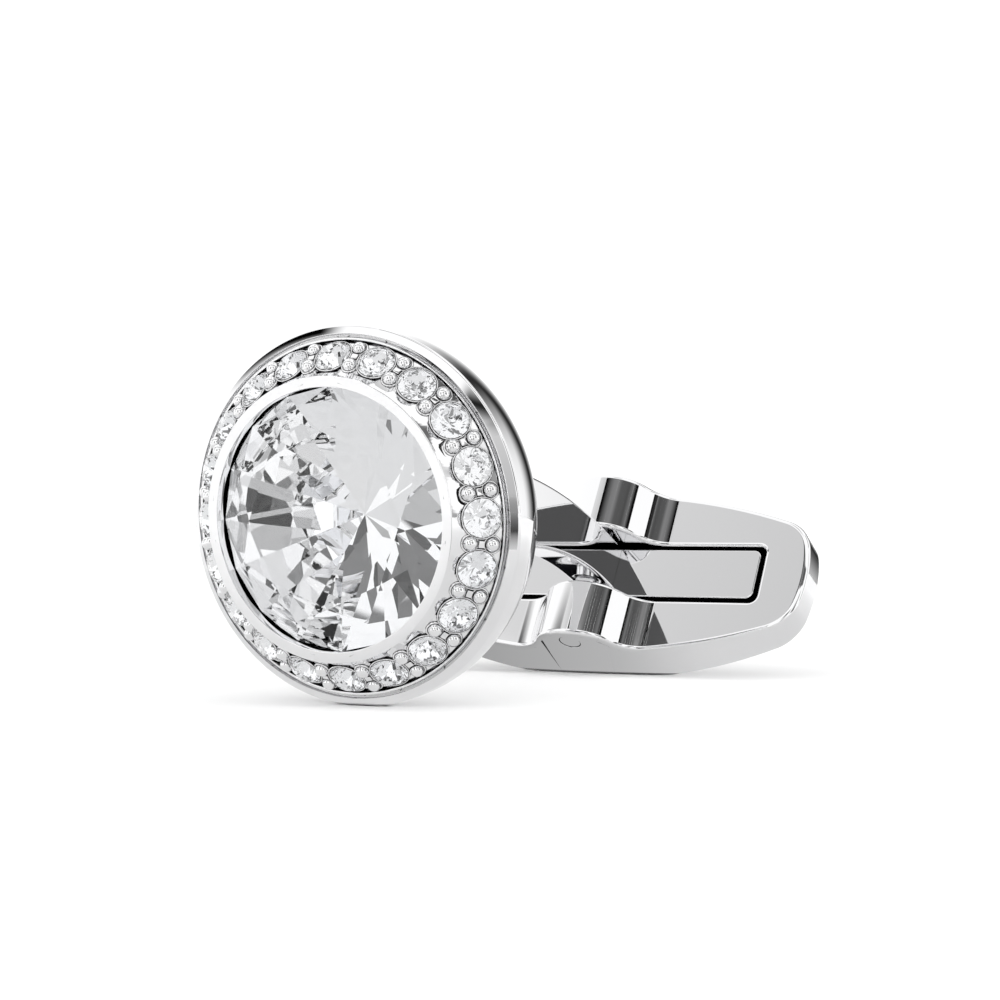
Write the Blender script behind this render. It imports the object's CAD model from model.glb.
import math
import bmesh
import bpy
from mathutils import Matrix, Vector


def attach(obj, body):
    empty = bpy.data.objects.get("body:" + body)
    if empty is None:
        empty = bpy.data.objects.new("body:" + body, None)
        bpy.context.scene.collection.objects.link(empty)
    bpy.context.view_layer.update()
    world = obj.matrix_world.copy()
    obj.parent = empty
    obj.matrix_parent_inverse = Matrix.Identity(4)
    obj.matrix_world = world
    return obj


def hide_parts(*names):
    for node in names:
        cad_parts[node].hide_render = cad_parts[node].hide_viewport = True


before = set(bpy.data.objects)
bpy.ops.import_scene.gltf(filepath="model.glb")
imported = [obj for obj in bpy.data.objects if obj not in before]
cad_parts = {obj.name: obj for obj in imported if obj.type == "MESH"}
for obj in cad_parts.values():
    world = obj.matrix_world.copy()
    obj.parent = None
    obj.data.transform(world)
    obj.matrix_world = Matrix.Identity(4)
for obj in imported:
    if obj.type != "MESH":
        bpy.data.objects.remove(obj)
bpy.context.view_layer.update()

# Cup of the head
# A shallow polished cup of rhodium-plated brass, turned on a lathe: plain bezel round the
# large stone, sloping halo, narrow groove and bevelled rim, with a domed back.
MM = 0.001
REST_TILT = math.radians(4.752242)
REST_SHIFT = Matrix.Translation((0, -12.63387 * MM, 7.406575 * MM))
AT_REST = REST_SHIFT @ Matrix.Rotation(REST_TILT, 4, "X")
HEAD = AT_REST @ Matrix.Rotation(math.radians(90), 4, "X") @ Matrix.Scale(MM, 4)
RIM_R = 7.5
BEZEL_IN = 5.12
BEZEL_OUT = 5.55
BEZEL_FOOT = 5.7
BEZEL_H = 1.32
HALO_LEVEL = 6.55
HALO_END = 6.91
DOME_H = -0.97
DOME_R = 3.7
CUP_DEPTH = 4.3
STONE_R = 5.17
STONE_H = 0.62
STONE_DEPTH = 4.1
STONE_GAP = 0.03
POCKET_GAP = 0.12
CULET = 0.3
CULET_HALF_TURN = 22.5
GIRDLE_UNDER = 0.09
GIRDLE_OVER = 0.11
LIP_UNDER = 0.36
LEDGE_OUT = 0.1
LEDGE_H = -0.2
GROOVE_OUT = 0.24
GROOVE_FLOOR = -0.5
GROOVE_TOP = -0.26
RIM_EDGE_R = 0.15
RIM_EDGE_H = -0.555
RIM_EDGE_TURN = 59
CUP_EDGE = 0.03
LATHE_STEPS = 256


def arc_points(x, y, radius, start, end, steps):
    """Points of an arc about (x, y), from start to end in degrees."""
    turns = [math.radians(start + (end - start) * i / steps) for i in range(steps + 1)]
    return [(x + radius * math.cos(t), y + radius * math.sin(t)) for t in turns]


def draw_outline(name, points, closed):
    """A new mesh of edges through the points (x, z), drawn by extruding one vertex."""
    bpy.ops.object.select_all(action="DESELECT")
    bpy.ops.mesh.primitive_plane_add(size=0.01, location=(0, 0, 0))
    piece = bpy.context.object
    piece.name = piece.data.name = name
    bpy.ops.object.mode_set(mode="EDIT")
    bpy.ops.mesh.select_mode(type="VERT")
    bpy.ops.mesh.select_all(action="SELECT")
    bpy.ops.mesh.merge(type="CENTER")
    bpy.ops.transform.translate(value=(points[0][0], 0, points[0][1]))
    for (x0, z0), (x1, z1) in zip(points, points[1:]):
        bpy.ops.mesh.extrude_region_move(TRANSFORM_OT_translate={"value": (x1 - x0, 0, z1 - z0)})
    bpy.ops.mesh.select_all(action="SELECT")
    if closed:
        bpy.ops.mesh.edge_face_add()
    return piece


def turn_on_lathe(name, points, steps):
    """A closed solid of revolution about Z from its section (radius, height)."""
    piece = draw_outline(name, points, False)
    bpy.ops.mesh.spin(steps=steps, angle=2 * math.pi, center=(0, 0, 0), axis=(0, 0, 1))
    bpy.ops.mesh.select_all(action="SELECT")
    bpy.ops.mesh.remove_doubles(threshold=0.0005)
    bpy.ops.mesh.normals_make_consistent(inside=False)
    bpy.ops.object.mode_set(mode="OBJECT")
    return piece


def cut_slab(name, points, thickness):
    """A plate cut to an outline (x, z), centred on the plane Y = 0."""
    piece = draw_outline(name, points, True)
    bpy.ops.transform.translate(value=(0, -thickness / 2, 0))
    bpy.ops.mesh.extrude_region_move(TRANSFORM_OT_translate={"value": (0, thickness, 0)})
    bpy.ops.mesh.select_all(action="SELECT")
    bpy.ops.mesh.remove_doubles(threshold=0.0005)
    bpy.ops.mesh.normals_make_consistent(inside=False)
    bpy.ops.object.mode_set(mode="OBJECT")
    return piece


def pick(piece):
    """Makes the piece the only one selected, and the active one."""
    bpy.ops.object.select_all(action="DESELECT")
    piece.select_set(True)
    bpy.context.view_layer.objects.active = piece


def finish_with(piece, kind, **settings):
    """Adds a modifier with its settings and applies it."""
    pick(piece)
    modifier = piece.modifiers.new(kind.title(), kind)
    for name, value in settings.items():
        setattr(modifier, name, value)
    bpy.ops.object.modifier_apply(modifier=modifier.name)


def cut_with(piece, tool, operation="DIFFERENCE"):
    """Cuts the piece with the tool and throws the tool away."""
    finish_with(piece, "BOOLEAN", object=tool, operation=operation, solver="EXACT")
    bpy.data.objects.remove(tool)


def round_edges(piece, width, segments):
    """Breaks every sharp edge of the piece by a small rounded bevel."""
    finish_with(piece, "BEVEL", width=width, segments=segments, limit_method="ANGLE",
                angle_limit=math.radians(30), harden_normals=False, use_clamp_overlap=False)


def shade(piece, weight=50):
    """Shades curves smooth and keeps flat faces flat up to their bevels."""
    pick(piece)
    bpy.ops.object.shade_smooth_by_angle(angle=math.radians(30))
    finish_with(piece, "WEIGHTED_NORMAL", keep_sharp=True, mode="FACE_AREA", weight=weight)


def put_in_place(piece, matrix):
    """Carries a finished piece to its place, with the place in its mesh."""
    pick(piece)
    piece.matrix_world = matrix
    bpy.ops.object.transform_apply(location=True, rotation=True, scale=True)


def join_all(name, pieces):
    """Joins pieces into one object."""
    bpy.ops.object.select_all(action="DESELECT")
    for piece in pieces:
        piece.select_set(True)
    bpy.context.view_layer.objects.active = pieces[0]
    bpy.ops.object.join()
    pieces[0].name = pieces[0].data.name = name
    return pieces[0]


dome_start = math.degrees(math.asin((CUP_DEPTH + DOME_H) / DOME_R))
culet_share = CULET * math.cos(math.radians(CULET_HALF_TURN))
cup_section = [
    (0, STONE_H - POCKET_GAP - STONE_DEPTH),
    (CULET * STONE_R, STONE_H - POCKET_GAP - STONE_DEPTH * (1 - culet_share)),
    (STONE_R + STONE_GAP, STONE_H - GIRDLE_UNDER),
    (STONE_R + STONE_GAP, STONE_H + GIRDLE_OVER),
    (BEZEL_IN, STONE_H + LIP_UNDER),
    (BEZEL_IN, BEZEL_H),
    (BEZEL_OUT, BEZEL_H),
    (BEZEL_FOOT, HALO_LEVEL - BEZEL_FOOT),
    (HALO_END, HALO_LEVEL - HALO_END),
    (HALO_END, LEDGE_H),
    (HALO_END + LEDGE_OUT, LEDGE_H),
    (HALO_END + LEDGE_OUT, GROOVE_FLOOR),
    (HALO_END + GROOVE_OUT, GROOVE_FLOOR),
    (HALO_END + GROOVE_OUT, GROOVE_TOP),
]
cup_section += arc_points(RIM_R - RIM_EDGE_R, RIM_EDGE_H, RIM_EDGE_R, RIM_EDGE_TURN, 0, 8)
cup_section += arc_points(RIM_R - DOME_R, DOME_H, DOME_R, 0, -dome_start, 24)
cup_section += [(0, -CUP_DEPTH)]
cup = turn_on_lathe("head_cup", cup_section, LATHE_STEPS)

# Seats of the halo
# Twenty seats are drilled square to the sloping halo, each a short wall over a cone, so
# that every small stone stands in a hole of its own size.
HALO_COUNT = 20
HALO_STONE_R = 0.75
SEAT_GAP = 0.02
SEAT_DEPTH = 0.7
SEAT_WALL = 0.045
SEAT_POINT_R = 0.05
DRILL_H = 0.6
HALO_SLOPE = math.radians(45)
BEAD_RING_R = 6.6
BEAD_PITCH = 0.88
INNER_BEAD_R = BEAD_RING_R - BEAD_PITCH * math.cos(HALO_SLOPE)
INNER_BEAD_H = BEAD_PITCH * math.sin(HALO_SLOPE)
HALO_MID_R = (BEAD_RING_R + INNER_BEAD_R) / 2
SEATS = [
    Matrix.Rotation(math.radians(360 / HALO_COUNT * i), 4, "Z")
    @ Matrix.Translation((HALO_MID_R, 0, INNER_BEAD_H / 2))
    @ Matrix.Rotation(HALO_SLOPE, 4, "Y")
    for i in range(HALO_COUNT)
]


def repeat_at(name, pattern, places):
    """Copies a pattern to each place, joins the copies and removes the pattern."""
    copies = []
    for place in places:
        copy = pattern.copy()
        copy.data = pattern.data.copy()
        bpy.context.collection.objects.link(copy)
        copy.data.transform(place)
        copies.append(copy)
    bpy.data.objects.remove(pattern)
    return join_all(name, copies)


seat_section = [
    (0, -SEAT_DEPTH),
    (SEAT_POINT_R, -SEAT_DEPTH),
    (HALO_STONE_R + SEAT_GAP, -SEAT_WALL),
    (HALO_STONE_R + SEAT_GAP, DRILL_H),
    (0, DRILL_H),
]
drill = turn_on_lathe("seat_drill", seat_section, 48)
cut_with(cup, repeat_at("seat_drills", drill, SEATS))
round_edges(cup, CUP_EDGE, 2)
shade(cup)

# Beads of the halo
# Forty small beads are raised from the metal between the stones, two in each gap with a
# square bridge between them, and pushed over the stones' edges to hold them.
BEAD_R = 0.285
COLLAR_R = 0.32
COLLAR_WIRE = 0.045
COLLAR_SINK = 0.02
BRIDGE_SIZE = (0.26, 0.3, 0.3)
BRIDGE_SINK = 0.06
BRIDGE_EDGE = 0.05
gap_turns = [
    Matrix.Rotation(math.radians(360 / HALO_COUNT * (i + 0.5)), 4, "Z") for i in range(HALO_COUNT)
]
bpy.ops.object.select_all(action="DESELECT")
bpy.ops.mesh.primitive_uv_sphere_add(segments=32, ring_count=16, radius=BEAD_R, location=(0, 0, 0))
bead = bpy.context.object
bpy.ops.object.shade_smooth()
bpy.ops.mesh.primitive_torus_add(
    major_segments=32, minor_segments=8, major_radius=COLLAR_R, minor_radius=COLLAR_WIRE)
collar = bpy.context.object
bpy.ops.object.shade_smooth()
collar.data.transform(Matrix.Translation((0, 0, -COLLAR_SINK)))
bead = join_all("bead", [bead, collar])
lean = Matrix.Rotation(HALO_SLOPE, 4, "Y")
bead_places = [turn @ Matrix.Translation((BEAD_RING_R, 0, 0)) @ lean for turn in gap_turns]
bead_places += [turn @ Matrix.Translation((INNER_BEAD_R, 0, INNER_BEAD_H)) @ lean for turn in gap_turns]
beads = repeat_at("halo_beads", bead, bead_places)
bpy.ops.object.select_all(action="DESELECT")
bpy.ops.mesh.primitive_cube_add(size=1, location=(0, 0, 0))
bridge = bpy.context.object
bridge.data.transform(Matrix.Diagonal((*BRIDGE_SIZE, 1)))
round_edges(bridge, BRIDGE_EDGE, 2)
shade(bridge)
to_bridge = Matrix.Translation((HALO_MID_R, 0, INNER_BEAD_H / 2))
sink = Matrix.Translation((0, 0, -BRIDGE_SINK))
bridge_places = [turn @ to_bridge @ lean @ sink for turn in gap_turns]
bridges = repeat_at("halo_bridges", bridge, bridge_places)

# Seat rims of the halo
# The same polished metal as the cup. Round each small stone the drill leaves a thin bright
# edge that stands a little proud, made as one fine ring for each seat.
RIM_WIRE = 0.028
RIM_OUT = 0.035
bpy.ops.object.select_all(action="DESELECT")
bpy.ops.mesh.primitive_torus_add(
    major_segments=48, minor_segments=8, major_radius=HALO_STONE_R + RIM_OUT, minor_radius=RIM_WIRE)
rim = bpy.context.object
bpy.ops.object.shade_smooth()
rims = repeat_at("seat_rims", rim, SEATS)

# Post
# A flat curved blade, cut from plate and soldered to the cup's back. Its end stands between
# the toggle's ears, is bored for the hinge pin, and bears on the flat spring.
POST_T = 1.8
POST_TOP_Y = 4.8
POST_TOP_Z = 2.0
POST_TOP_R = 35
POST_UNDER_Y = 12.1
POST_UNDER_Z = -2.4
POST_UNDER_R = 19
TOGGLE_LEAN = 36
PIN_BACK = 21.7
PIN_DROP = 3.85
PIN_R = 0.5
PIN_H = 1.0
POST_REACH = 1.04
POST_ROOT_Y = 4.0
POST_EDGE = 0.16
BORE_GAP = 0.05


def round_bar(name, radius, length):
    """A round bar along Z, centred on the origin."""
    bpy.ops.object.select_all(action="DESELECT")
    bpy.ops.mesh.primitive_cylinder_add(vertices=64, radius=radius, depth=length, location=(0, 0, 0))
    piece = bpy.context.object
    piece.name = piece.data.name = name
    return piece


def meet_line(cx, cy, radius, px, py, dx, dy):
    """Angle in degrees at which a circle meets the line through p along d, on its upper side."""
    fx, fy = px - cx, py - cy
    b = fx * dx + fy * dy
    s = -b + math.sqrt(b * b - fx * fx - fy * fy + radius * radius)
    return math.degrees(math.atan2(fy + s * dy, fx + s * dx))


lean_s = math.sin(math.radians(TOGGLE_LEAN))
lean_c = math.cos(math.radians(TOGGLE_LEAN))
end_y = PIN_BACK + POST_REACH * lean_c
end_z = -PIN_DROP - POST_REACH * lean_s
top_centre = (POST_TOP_Y, POST_TOP_Z - POST_TOP_R)
under_centre = (POST_UNDER_Y, POST_UNDER_Z - POST_UNDER_R)
top_end = meet_line(*top_centre, POST_TOP_R, end_y, end_z, lean_s, lean_c)
under_end = meet_line(*under_centre, POST_UNDER_R, end_y, end_z, lean_s, lean_c)
post_outline = [(POST_ROOT_Y, POST_UNDER_Z), (POST_ROOT_Y, POST_TOP_Z)]
post_outline += arc_points(*top_centre, POST_TOP_R, 90, top_end, 32)
post_outline += arc_points(*under_centre, POST_UNDER_R, under_end, 90, 24)
post = cut_slab("post", post_outline, POST_T)
bore = round_bar("post_bore", PIN_R + BORE_GAP, 8)
bore_turn = Matrix.Rotation(math.radians(TOGGLE_LEAN), 4, "Y")
bore.data.transform(Matrix.Translation((PIN_BACK, 0, -PIN_DROP)) @ bore_turn)
cut_with(post, bore)


def break_edges(piece, wanted, sharper_than, width, segments):
    """Bevels the edges that lie where wanted and are sharper than an angle in degrees."""
    pick(piece)
    bpy.ops.object.mode_set(mode="EDIT")
    bpy.ops.mesh.select_mode(type="EDGE")
    bpy.ops.mesh.select_all(action="DESELECT")
    mesh = bmesh.from_edit_mesh(piece.data)
    for edge in mesh.edges:
        middle = (edge.verts[0].co + edge.verts[1].co) / 2
        sharp = len(edge.link_faces) == 2 and math.degrees(edge.calc_face_angle()) > sharper_than
        edge.select_set(sharp and wanted(abs(middle.x), abs(middle.y), middle.z))
    mesh.select_flush_mode()
    bmesh.update_edit_mesh(piece.data)
    bpy.ops.mesh.bevel(offset=width, segments=segments, affect="EDGES", clamp_overlap=False)
    bpy.ops.object.mode_set(mode="OBJECT")


def on_post_side(x, y, z):
    """Off the end face, which is ground flat with sharp corners, and off the bore."""
    past_end = (x - end_y) * lean_c - (z - end_z) * lean_s
    return past_end < -0.05 and math.hypot(x - PIN_BACK, z + PIN_DROP) > PIN_R + 2 * BORE_GAP


break_edges(post, on_post_side, 25, POST_EDGE, 4)
shade(post)
put_in_place(post, AT_REST @ Matrix.Rotation(math.radians(90), 4, "Z") @ Matrix.Scale(MM, 4))

# Metal of the head and the post
# Rhodium plate over brass, polished on a cloth wheel: a hard white mirror. Only a very
# faint haze and the finest wheel marks keep it from being perfect.
HAZE_MM = 1.1111
MARKS_MM = 0.4
MARK_DEPTH_MM = 0.02
MARK_STRENGTH = 0.004
CORNER_MM = 0.15


def hex_colour(code):
    """Linear colour of an sRGB hex value."""
    parts = [int(code[i:i + 2], 16) / 255 for i in (1, 3, 5)]
    return [c / 12.92 if c <= 0.04045 else ((c + 0.055) / 1.055) ** 2.4 for c in parts] + [1]


def add(tree, kind, inputs, **settings):
    """Adds a node with its settings, its values and the links into it."""
    node = tree.nodes.new(kind)
    for name, value in settings.items():
        setattr(node, name, value)
    for key, value in inputs.items():
        if isinstance(value, bpy.types.NodeSocket):
            tree.links.new(value, node.inputs[key])
        else:
            node.inputs[key].default_value = value
    return node


def polished_metal(name, colour, corner_colour, least_rough, most_rough, marks_mm):
    """Mirror-polished metal with a faint haze, fine wheel marks and darker tight corners."""
    material = bpy.data.materials.new(name)
    material.use_nodes = True
    tree = material.node_tree
    tree.nodes.clear()
    place = add(tree, "ShaderNodeTexCoord", {}).outputs["Object"]
    haze = add(tree, "ShaderNodeTexNoise", {"Vector": place, "Scale": 1 / (HAZE_MM * MM), "Detail": 3})
    rough = add(tree, "ShaderNodeMapRange", {
        "Value": haze.outputs["Fac"], "To Min": least_rough, "To Max": most_rough})
    marks = add(tree, "ShaderNodeTexNoise", {"Vector": place, "Scale": 1 / (marks_mm * MM), "Detail": 2})
    bump = add(tree, "ShaderNodeBump", {
        "Height": marks.outputs["Fac"], "Strength": MARK_STRENGTH, "Distance": MARK_DEPTH_MM * MM})
    metal = add(tree, "ShaderNodeBsdfPrincipled", {
        "Base Color": hex_colour(colour), "Metallic": 1.0,
        "Roughness": rough.outputs["Result"], "Normal": bump.outputs["Normal"]})
    if corner_colour != colour:
        corner = add(tree, "ShaderNodeAmbientOcclusion", {"Distance": CORNER_MM * MM}, samples=8)
        clean = add(tree, "ShaderNodeMapRange", {
            "Value": corner.outputs["AO"], "From Min": 0.3, "From Max": 0.75})
        tone = add(tree, "ShaderNodeMix", {
            0: clean.outputs["Result"], 6: hex_colour(corner_colour), 7: hex_colour(colour)},
            data_type="RGBA")
        tree.links.new(tone.outputs[2], metal.inputs["Base Color"])
    add(tree, "ShaderNodeOutputMaterial", {"Surface": metal.outputs["BSDF"]})
    return material


rhodium = polished_metal("polished rhodium plate", "#EDEDEE", "#3A3A3C", 0.015, 0.045, MARKS_MM)
open_rhodium = polished_metal(
    "polished rhodium plate, open places", "#EDEDEE", "#E6E6E7", 0.015, 0.045, MARKS_MM)
for piece in (cup, beads, bridges, rims):
    put_in_place(piece, HEAD)
for piece in (cup, beads, bridges, rims, post):
    piece.data.materials.clear()
    piece.data.materials.append(open_rhodium if piece == post else rhodium)
    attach(piece, "head")
    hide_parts("setting")

# The bezel's inside wall and the pocket under the large stone are as bright as open metal.
cup.data.materials.append(open_rhodium)
to_head = HEAD.inverted()
for face in cup.data.polygons:
    place = to_head @ face.center
    under_bezel = math.hypot(place.x, place.y) < BEZEL_IN + 0.1 and place.z < BEZEL_H - 0.05
    face.material_index = 1 if under_bezel else 0

# Stones
# The large stone and the twenty small ones are cut crystal: each facet is ground flat and
# polished, so the edges between them are crisp. A silver foil is fired on the back facets
# and the girdle, which turns the light round, as on crystal made for jewellery.
TINGE_MM = 3.3333


def cut_crystal(name, clear_code, tinged_code, ior):
    """Clear polished crystal with the faintest change of tinge over a few millimetres."""
    material = bpy.data.materials.new(name)
    material.use_nodes = True
    tree = material.node_tree
    tree.nodes.clear()
    place = add(tree, "ShaderNodeTexCoord", {}).outputs["Object"]
    cloud = add(tree, "ShaderNodeTexNoise", {"Vector": place, "Scale": 1 / (TINGE_MM * MM), "Detail": 1})
    tinge = add(tree, "ShaderNodeMix", {
        0: cloud.outputs["Fac"], 6: hex_colour(clear_code), 7: hex_colour(tinged_code)}, data_type="RGBA")
    glass = add(tree, "ShaderNodeBsdfPrincipled", {
        "Base Color": tinge.outputs[2], "Roughness": 0.0, "IOR": ior, "Transmission Weight": 1.0})
    add(tree, "ShaderNodeOutputMaterial", {"Surface": glass.outputs["BSDF"]})
    return material


crystal = cut_crystal("cut crystal", "#FFFFFF", "#F6F8FC", 1.5)
foil = polished_metal("silver foil behind the crystal", "#F6F6F6", "#F6F6F6", 0.0, 0.01, HAZE_MM)
to_stones = {"centre_stone": HEAD.inverted()}
for i, seat in enumerate(SEATS):
    to_stones["halo_stone_%02d" % (i + 1)] = (HEAD @ seat).inverted()
for name, to_stone in to_stones.items():
    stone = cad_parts[name]
    stone.data.materials.clear()
    stone.data.materials.append(crystal)
    stone.data.materials.append(foil)
    for face in stone.data.polygons:
        outward = (to_stone.to_3x3() @ face.normal).normalized()
        face.material_index = 1 if outward.z < 0.1 else 0

# Toggle
# The whale-back bar is pressed from plated brass: a flat bar with a curved belly, two humped
# ears that carry the hinge pin, and a long slot between them for the flat spring.
HALF_LEN = 10.55
HALF_W = 4.4
SIDE_R = 29
END_R = 7
CORNER_R = 1.9
EAR_H = 1.9
CREST_R = 2.3
VALLEY_R = 1.7
TOGGLE_T = 2.6
BELLY_RISE = 1.1
BELLY_R = (HALF_LEN ** 2 + BELLY_RISE ** 2) / (2 * BELLY_RISE)
SLOT_HALF_LEN = 8.3
SLOT_HALF_W = 1.48
SLOT_CORNER_R = 0.35
SLOT_DEPTH = 1.02
SLOT_EDGE = 0.19
OUTER_EDGE = 0.25
BORE_EDGE = 0.03
BELLY_CORNER_R = 0.7
BED_FROM = 1.8
BED_TO = 8.0
BED_TOP = -0.41
BED_FOOT = -1.1
BED_WIDTH = 2.3
BED_EDGE = 0.05
PRESS_GAP = 0.02
WELD_GAP = 0.012
TOGGLE = (
    AT_REST
    @ Matrix.Translation((0, (PIN_BACK + PIN_H * lean_c) * MM, (-PIN_DROP - PIN_H * lean_s) * MM))
    @ Matrix.Rotation(math.radians(90 - TOGGLE_LEAN), 4, "X")
    @ Matrix.Scale(MM, 4)
)


def mirror_quarter(quarter):
    """The whole closed outline from its first quarter."""
    half = quarter + [(-x, y) for x, y in reversed(quarter)]
    whole = half + [(-x, -y) for x, y in half]
    return [p for p, q in zip(whole, whole[1:] + whole[:1]) if math.dist(p, q) > 0.001]


side_y = HALF_W - SIDE_R
end_x = HALF_LEN - END_R
reach = math.hypot(end_x, side_y)
along = ((SIDE_R - CORNER_R) ** 2 - (END_R - CORNER_R) ** 2 + reach ** 2) / (2 * reach)
aside = math.sqrt((SIDE_R - CORNER_R) ** 2 - along ** 2)
corner_x = (along * end_x - aside * side_y) / reach
corner_y = side_y + (-along * side_y - aside * end_x) / reach
side_turn = math.degrees(math.atan2(corner_y - side_y, corner_x))
end_turn = math.degrees(math.atan2(corner_y, corner_x - end_x))
plan = arc_points(end_x, 0, END_R, 0, end_turn, 6)
plan += arc_points(corner_x, corner_y, CORNER_R, end_turn, side_turn, 14)[1:]
plan += arc_points(0, side_y, SIDE_R, side_turn, 90, 12)[1:]
bar = cut_slab("toggle_bar", mirror_quarter(plan), 10)
bar.data.transform(Matrix.Rotation(math.radians(90), 4, "X"))

crest_z = EAR_H - CREST_R
valley_x = math.sqrt((CREST_R + VALLEY_R) ** 2 - (VALLEY_R - crest_z) ** 2)
meet = math.degrees(math.atan2(VALLEY_R - crest_z, valley_x))
belly_turn = math.degrees(math.asin((HALF_LEN + 1) / BELLY_R))
side_view = arc_points(0, crest_z, CREST_R, 180 - meet, meet, 32)
side_view += arc_points(valley_x, VALLEY_R, VALLEY_R, 180 + meet, 270, 16)[1:]
side_view += [(HALF_LEN + 1, 0)]
side_view += arc_points(0, BELLY_R - TOGGLE_T, BELLY_R, 270 + belly_turn, 270 - belly_turn, 40)
side_view += [(-HALF_LEN - 1, 0)]
side_view += arc_points(-valley_x, VALLEY_R, VALLEY_R, 270, 360 - meet, 16)[:-1]
cut_with(bar, cut_slab("side_view", side_view, 12), "INTERSECT")

end_view = [(HALF_W + 0.01, 3)]
end_view += arc_points(HALF_W - BELLY_CORNER_R, BELLY_CORNER_R - TOGGLE_T, BELLY_CORNER_R, 0, -90, 12)
end_view += [(-x, z) for x, z in reversed(end_view)]
end_tool = cut_slab("end_view", end_view, 24)
end_tool.data.transform(Matrix.Rotation(math.radians(90), 4, "Z"))
cut_with(bar, end_tool, "INTERSECT")


def slot_outline(half_length, half_width):
    """A long outline with small round corners, for the slot and for the strip in it."""
    quarter = [(half_length, 0)]
    quarter += arc_points(
        half_length - SLOT_CORNER_R, half_width - SLOT_CORNER_R, SLOT_CORNER_R, 0, 90, 6)
    quarter += [(0, half_width)]
    return mirror_quarter(quarter)


slot_tool = cut_slab("slot_tool", slot_outline(SLOT_HALF_LEN, SLOT_HALF_W), 4)
slot_tool.data.transform(
    Matrix.Translation((0, 0, 2 - SLOT_DEPTH)) @ Matrix.Rotation(math.radians(90), 4, "X"))
cut_with(bar, slot_tool)
pin_bore = round_bar("pin_bore", PIN_R + PRESS_GAP, 12)
pin_bore.data.transform(Matrix.Translation((0, 0, PIN_H)) @ Matrix.Rotation(math.radians(90), 4, "X"))
cut_with(bar, pin_bore)


def tidy_faces(piece, gap):
    """Merges corners closer than a gap and dissolves the edges between level faces."""
    pick(piece)
    bpy.ops.object.mode_set(mode="EDIT")
    bpy.ops.mesh.select_mode(type="VERT")
    bpy.ops.mesh.select_all(action="SELECT")
    bpy.ops.mesh.remove_doubles(threshold=gap)
    bpy.ops.mesh.dissolve_degenerate(threshold=gap)
    bpy.ops.mesh.dissolve_limited(angle_limit=math.radians(0.5))
    bpy.ops.object.mode_set(mode="OBJECT")


def on_bore(x, y, z):
    return x < PIN_R + 0.03 and abs(z - PIN_H) < PIN_R + 0.03


def on_outer_top(x, y, z):
    return z > -0.05 and (y > 1.6 or x > SLOT_HALF_LEN + 0.1) and not on_bore(x, y, z)


def on_slot(x, y, z):
    return z > -0.05 and y < 1.6 and x < SLOT_HALF_LEN + 0.1 and not on_bore(x, y, z)


tidy_faces(bar, WELD_GAP)
break_edges(bar, on_outer_top, 25, OUTER_EDGE, 5)
break_edges(bar, on_slot, 25, SLOT_EDGE, 4)
break_edges(bar, on_bore, 30, BORE_EDGE, 2)
shade(bar, 90)

# The long walls are ground as one even curve, so their shading follows it exactly.
corner_normals = [corner.vector.copy() for corner in bar.data.corner_normals]
for face in bar.data.polygons:
    if abs(face.normal.z) < 0.01 and face.normal.y ** 2 > 0.9 and abs(face.center.y) > 3:
        for corner in face.loop_indices:
            x, y, z = bar.data.vertices[bar.data.loops[corner].vertex_index].co
            corner_normals[corner] = Vector((x, y + math.copysign(side_y, y), 0)).normalized()
bar.data.normals_split_custom_set(corner_normals)

# The strip rests on two low beds that are left standing in the slot, away from its walls.
beds = []
for side in (-1, 1):
    near, far = side * BED_FROM, side * BED_TO
    bed_side = [(near, BED_FOOT), (far, BED_FOOT), (far, BED_TOP), (near, BED_TOP)]
    bed = cut_slab("bed", bed_side, BED_WIDTH)
    round_edges(bed, BED_EDGE, 2)
    shade(bed)
    beds.append(bed)
beds = join_all("strip_beds", beds)
for piece in (bar, beds):
    put_in_place(piece, TOGGLE)

# Spring strip
# A flat strip of polished spring steel lies in the slot with a narrow dark gap all round. It
# gives way a little under the corners of the post's end as the toggle turns.
STRIP_GAP = 0.2
STRIP_TOP = -0.05
STRIP_UNDER = -0.39
STRIP_EDGE = 0.06
strip = cut_slab("spring_leaf", slot_outline(SLOT_HALF_LEN - STRIP_GAP, SLOT_HALF_W - STRIP_GAP), 2)
strip.data.transform(Matrix.Rotation(math.radians(90), 4, "X"))
leaf_side = [(-9, STRIP_TOP), (9, STRIP_TOP), (9, STRIP_UNDER), (-9, STRIP_UNDER)]
cut_with(strip, cut_slab("leaf_side", leaf_side, 4), "INTERSECT")
round_edges(strip, STRIP_EDGE, 3)
shade(strip)
put_in_place(strip, TOGGLE)

# Hinge pin
# A turned pin of the same plated brass, pressed through both ears and ground off just flush
# with their sides, with its ends' edges broken.
PIN_SINK = 0.03
PIN_EDGE = 0.04
pin = round_bar("hinge_rivet", PIN_R, 2 * (HALF_W - PIN_SINK))
pin.data.transform(Matrix.Translation((0, 0, PIN_H)) @ Matrix.Rotation(math.radians(90), 4, "X"))
round_edges(pin, PIN_EDGE, 2)
shade(pin)
put_in_place(pin, TOGGLE)

slot_metal = polished_metal(
    "unpolished slot, dark with residue", "#16161A", "#060608", 0.2, 0.35, MARKS_MM)
toggle_metal = polished_metal(
    "polished rhodium plate on the toggle", "#EAEAEB", "#1A1A1C", 0.015, 0.045, MARKS_MM)
spring_steel = polished_metal("polished spring steel", "#E8E8E9", "#E0E0E1", 0.015, 0.045, MARKS_MM)
for piece, node, slot in ((bar, "toggle", "toggle_metal"), (beds, "toggle", "toggle_metal"),
                          (strip, "spring_strip", "spring_metal"), (pin, "hinge_pin", "pin_metal")):
    piece.data.materials.clear()
    piece.data.materials.append(spring_steel if piece == strip else toggle_metal)
    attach(piece, "toggle_bar")
    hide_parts(node)

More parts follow.
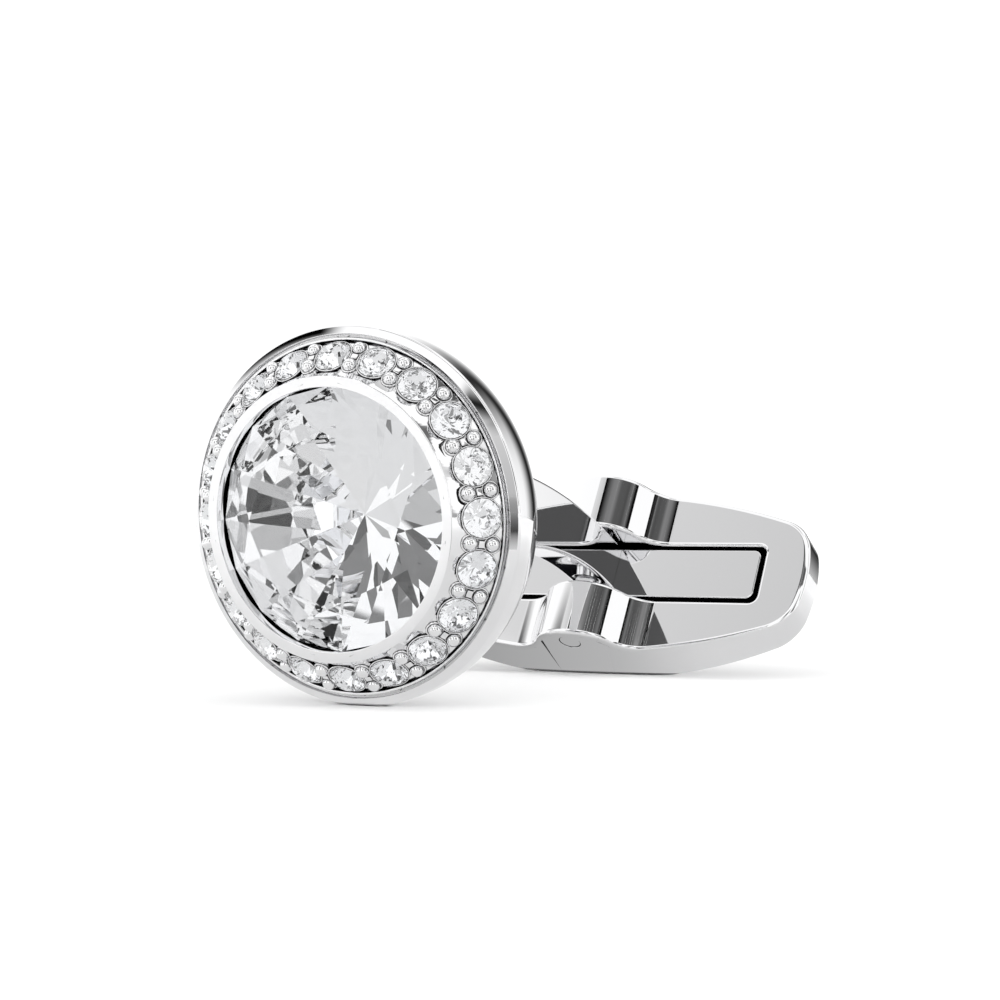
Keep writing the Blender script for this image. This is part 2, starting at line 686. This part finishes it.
# Inside the slot, below the strip's top, no wheel reaches and the metal stays dark.
bar.data.materials.append(slot_metal)
beds.data.materials[0] = slot_metal
to_toggle = TOGGLE.inverted()
for face in bar.data.polygons:
    place = to_toggle @ face.center
    inside = abs(place.x) < SLOT_HALF_LEN + 0.02 and abs(place.y) < SLOT_HALF_W + 0.02
    face.material_index = 1 if inside and -SLOT_DEPTH - 0.02 < place.z < -0.1 else 0

# Floor
# Plain white paper, wide enough to meet the background. The metal mirrors a second sheet
# that lies just under it: white far off, and greyer close by, where the object shades it.
PAPER_SIZE = 6
GREY_UNTIL = 0.02
WHITE_FROM = 0.07


def lay_paper(name, level, near_code, far_code):
    """A wide sheet of matt paper, of one grey near the object and another far off."""
    bpy.ops.object.select_all(action="DESELECT")
    bpy.ops.mesh.primitive_plane_add(size=PAPER_SIZE, location=(0, 0, level))
    sheet = bpy.context.object
    sheet.name = sheet.data.name = name
    paper = bpy.data.materials.new(name)
    paper.use_nodes = True
    tree = paper.node_tree
    tree.nodes.clear()
    place = add(tree, "ShaderNodeTexCoord", {}).outputs["Object"]
    reach = add(tree, "ShaderNodeVectorMath", {0: place}, operation="LENGTH")
    share = add(tree, "ShaderNodeMapRange", {
        "Value": reach.outputs["Value"], "From Min": GREY_UNTIL, "From Max": WHITE_FROM})
    colour = add(tree, "ShaderNodeMix", {
        0: share.outputs["Result"], 6: hex_colour(near_code), 7: hex_colour(far_code)}, data_type="RGBA")
    matt = add(tree, "ShaderNodeBsdfDiffuse", {"Color": colour.outputs[2], "Roughness": 0.9})
    add(tree, "ShaderNodeOutputMaterial", {"Surface": matt.outputs["BSDF"]})
    sheet.data.materials.append(paper)
    return sheet


floor = lay_paper("white paper", 0, "#FFFFFF", "#FFFFFF")
floor.visible_glossy = False
floor.visible_transmission = False
mirrored_floor = lay_paper("grey paper", -0.0002, "#DEDEDE", "#FFFFFF")
mirrored_floor.visible_camera = False
mirrored_floor.visible_diffuse = False
mirrored_floor.visible_transmission = False

# Light
# A white studio all round. Grey and black cards hang out of the picture, as a photographer
# of jewellery sets them: some show as dark bands in the metal, others only in the stones.
GLOW = 1.2
CARD_DISTANCE = 0.6


def aim(azimuth, elevation):
    """Direction from the object, both in degrees, azimuth from the front toward the right."""
    turn, rise = math.radians(azimuth), math.radians(elevation)
    return Vector((math.sin(turn) * math.cos(rise), -math.cos(turn) * math.cos(rise), math.sin(rise)))


def card_board(name, start_code, end_code, fade, ends):
    """A board that shades from one grey to another along its length, with soft edges and ends."""
    board = bpy.data.materials.new(name)
    board.use_nodes = True
    tree = board.node_tree
    tree.nodes.clear()
    place = add(tree, "ShaderNodeTexCoord", {}).outputs["Object"]
    split = add(tree, "ShaderNodeSeparateXYZ", {"Vector": place})
    along = add(tree, "ShaderNodeMapRange", {"Value": split.outputs["X"], "From Min": -1, "From Max": 1})
    colour = add(tree, "ShaderNodeMix", {
        0: along.outputs["Result"], 6: hex_colour(start_code), 7: hex_colour(end_code)}, data_type="RGBA")
    covers = []
    for axis, solid in (("Y", 1 - fade), ("X", 0.999 - ends)):
        aside = add(tree, "ShaderNodeMath", {0: split.outputs[axis]}, operation="ABSOLUTE")
        covers.append(add(tree, "ShaderNodeMapRange", {
            "Value": aside.outputs["Value"], "From Min": 1, "From Max": solid},
            interpolation_type="SMOOTHSTEP").outputs["Result"])
    share = add(tree, "ShaderNodeMath", {0: covers[0], 1: covers[1]}, operation="MULTIPLY")
    glow = add(tree, "ShaderNodeEmission", {"Color": colour.outputs[2], "Strength": GLOW})
    clear = add(tree, "ShaderNodeBsdfTransparent", {})
    mix = add(tree, "ShaderNodeMixShader", {
        0: share.outputs["Value"], 1: clear.outputs["BSDF"], 2: glow.outputs["Emission"]})
    add(tree, "ShaderNodeOutputMaterial", {"Surface": mix.outputs["Shader"]})
    return board


def set_up_card(name, middle, axes, half_long, half_wide, board, seen_in):
    """A flat card with its middle and axes, seen in the metal, the stones or both, never directly."""
    bpy.ops.object.select_all(action="DESELECT")
    bpy.ops.mesh.primitive_plane_add(size=2, location=(0, 0, 0))
    card = bpy.context.object
    card.name = card.data.name = name
    turn = Matrix(axes).transposed().to_4x4()
    card.matrix_world = Matrix.Translation(middle) @ turn @ Matrix.Diagonal((half_long, half_wide, 1, 1))
    card.data.materials.append(board)
    card.visible_glossy = seen_in != "stones"
    card.visible_transmission = seen_in != "metal"
    card.visible_camera = False
    card.visible_diffuse = False
    card.visible_shadow = False


def hang_card(name, start, end, width, start_code, end_code, fade, ends, seen_in, distance=CARD_DISTANCE):
    """A card between two directions, as wide as an angle in degrees."""
    first, last = aim(*start), aim(*end)
    middle = (first + last).normalized()
    along = (last - first).normalized()
    half_long = distance * math.tan(first.angle(last) / 2)
    half_wide = distance * math.tan(math.radians(width / 2))
    board = card_board(name, start_code, end_code, fade, ends)
    axes = (along, middle.cross(along), middle)
    set_up_card(name, distance * middle, axes, half_long, half_wide, board, seen_in)


def lay_card(name, foot, azimuth, near, far, width, start_code, end_code, ends):
    """A card on the floor that points away from its foot, from near to far in metres."""
    way = aim(azimuth, 0)
    board = card_board(name, start_code, end_code, 0.5, ends)
    axes = (way, Vector((-way.y, way.x, 0)), Vector((0, 0, 1)))
    middle = foot + way * (near + far) / 2
    set_up_card(name, middle, axes, (far - near) / 2, width / 2, board, "metal")


# The dark arch that the toggle's and the post's flat faces mirror, from left to right.
LONG_CARD = [
    (-34.5, 57, "#020202"), (-27, 58.5, "#101010"), (-16, 60, "#505050"), (2, 61, "#787878"),
    (20, 60, "#808080"), (34, 56.5, "#585858"), (42, 54, "#545454"), (50, 51.5, "#545454"),
    (59, 48, "#4C4C4C"), (70, 43.5, "#707070"), (76, 40, "#181818"), (81, 37, "#040404")]
for (az, el, code), (next_az, next_el, next_code) in zip(LONG_CARD, LONG_CARD[1:]):
    hang_card("long_card", (az, el), (next_az, next_el), 11, code, next_code, 0.3, 0, "both")

# Name, start and end, width, the greys at both, soft share of edges and ends, where seen.
CARDS = [
    ("plate_card", (-58, 53), (-35.5, 56), 14, "#E0E0E0", "#CACACA", 0.3, 0, "both"),
    ("left_boom", (-90, 21), (-45.5, 47.5), 12, "#020202", "#020202", 0.8, 0.45, "metal"),
    ("camera_card", (34, -5), (28, 25), 18, "#B4B4B4", "#D0D0D0", 0.7, 0.15, "metal"),
    ("camera_top", (12, 30), (38, 25), 20, "#202020", "#202020", 1.0, 0.4, "metal"),
    ("back_post", (176, -12), (178, 42), 60, "#080808", "#303030", 1.0, 0.25, "both"),
    ("frame_left", (-14, -14), (-14, 30), 12, "#101010", "#101010", 0.2, 0, "metal"),
    ("frame_right", (72, -18), (72, 30), 14, "#101010", "#101010", 0.2, 0, "metal"),
    ("side_card", (114, -6), (117, 34), 12, "#909090", "#C4C4C4", 0.6, 0, "both"),
    ("back_card", (116, 38), (138, 58), 12, "#707070", "#606060", 0.6, 0, "both"),
    ("top_card", (-160, 78), (20, 80), 20, "#C4C4C4", "#D8D8D8", 0.6, 0, "both"),
    ("right_card", (58, 6), (66, 30), 22, "#8C8C8C", "#B8B8B8", 0.5, 0, "both"),
    ("left_card", (-66, 6), (-58, 30), 18, "#C0C0C0", "#E0E0E0", 0.6, 0, "both"),
    ("stone_floor", (180, -8), (0, -8), 164, "#DCDCDC", "#DCDCDC", 0.02, 0, "stones", 0.64),
]
for card in CARDS:
    hang_card(*card)

# What the stones' facets show: azimuth from and to, elevation from and to, grey. Each next
# card hangs a little nearer than the last.
STONE_CARDS = [
    (-8, 6, 19, 38, "#7C7C7C"), (-46, -31, -9, 11, "#5A5A5A"), (-30, -15, 25, 32, "#343434"),
    (-2, 11, 13, 33, "#7C7C7C"), (7, 17, -15, 4, "#7C7C7C"), (-46, -36, -12, 1, "#B4B4B4"),
    (-40, -29, 30, 44, "#5A5A5A"), (-41, -31, 9, 15, "#343434"), (-9, 9, 34, 42, "#5A5A5A"),
    (-37, -27, -13, 2, "#B4B4B4"), (9, 25, -54, -48, "#808080"), (1, 14, -17, -1, "#B4B4B4"),
    (-36, -23, -17, -11, "#343434")]
for i, (az_from, az_to, el_from, el_to, code) in enumerate(STONE_CARDS):
    az = (az_from + az_to) / 2
    width = (az_to - az_from) * math.cos(math.radians((el_from + el_to) / 2))
    distance = CARD_DISTANCE - 0.004 * i
    hang_card("stone_card", (az, el_from), (az, el_to), width, code, code, 0.05, 0, "stones", distance)

# Cards on the floor: foot, azimuth, near and far, width, the greys at both, soft ends.
HEAD_FOOT = Vector((6 * MM, -13 * MM, 0.05 * MM))
TOGGLE_FOOT = Vector((2 * MM, 10 * MM, 0.05 * MM))
FLOOR_CARDS = [
    ("toggle_shade", TOGGLE_FOOT, 90, -0.015, 0.005, 0.014, "#8C8C8C", "#C0C0C0", 0.6),
    ("floor_front", HEAD_FOOT, 0, 0.02, 0.09, 0.013, "#6E6E6E", "#A0A0A0", 0),
    ("floor_near", HEAD_FOOT, 34, 0.018, 0.030, 0.009, "#CCCCCC", "#444444", 0),
    ("floor_middle", HEAD_FOOT, 34, 0.030, 0.065, 0.012, "#444444", "#8C8C8C", 0),
    ("floor_far", HEAD_FOOT, 34, 0.065, 0.3, 0.05, "#8C8C8C", "#B4B4B4", 0),
    ("floor_end", HEAD_FOOT, 34, 0.3, 2.8, 0.4, "#B4B4B4", "#B8B8B8", 0),
]
for card in FLOOR_CARDS:
    lay_card(*card)
world = bpy.data.worlds.new("white studio")
bpy.context.scene.world = world
world.use_nodes = True
world.node_tree.nodes["Background"].inputs["Color"].default_value = (1, 1, 1, 1)
world.node_tree.nodes["Background"].inputs["Strength"].default_value = GLOW
bpy.context.scene.view_settings.view_transform = "Standard"

# The stones need many bounces before the light comes out again.
STONE_BOUNCES = 24
bpy.context.scene.cycles.max_bounces = STONE_BOUNCES
bpy.context.scene.cycles.transmission_bounces = STONE_BOUNCES
bpy.context.scene.cycles.glossy_bounces = 12

# Camera
# Level with the cufflink, from its front right, just above the floor, with a long lens as for
# a small object close by.
lens = bpy.data.cameras.new("camera")
lens.lens = 79.52
lens.sensor_width = 36
lens.clip_start = 5 * MM
camera = bpy.data.objects.new("camera", lens)
bpy.context.collection.objects.link(camera)
camera.location = (46.18 * MM, -85.58 * MM, 7.213 * MM)
camera.rotation_euler = (math.radians(90.585), 0, math.radians(28.31))
bpy.context.scene.camera = camera
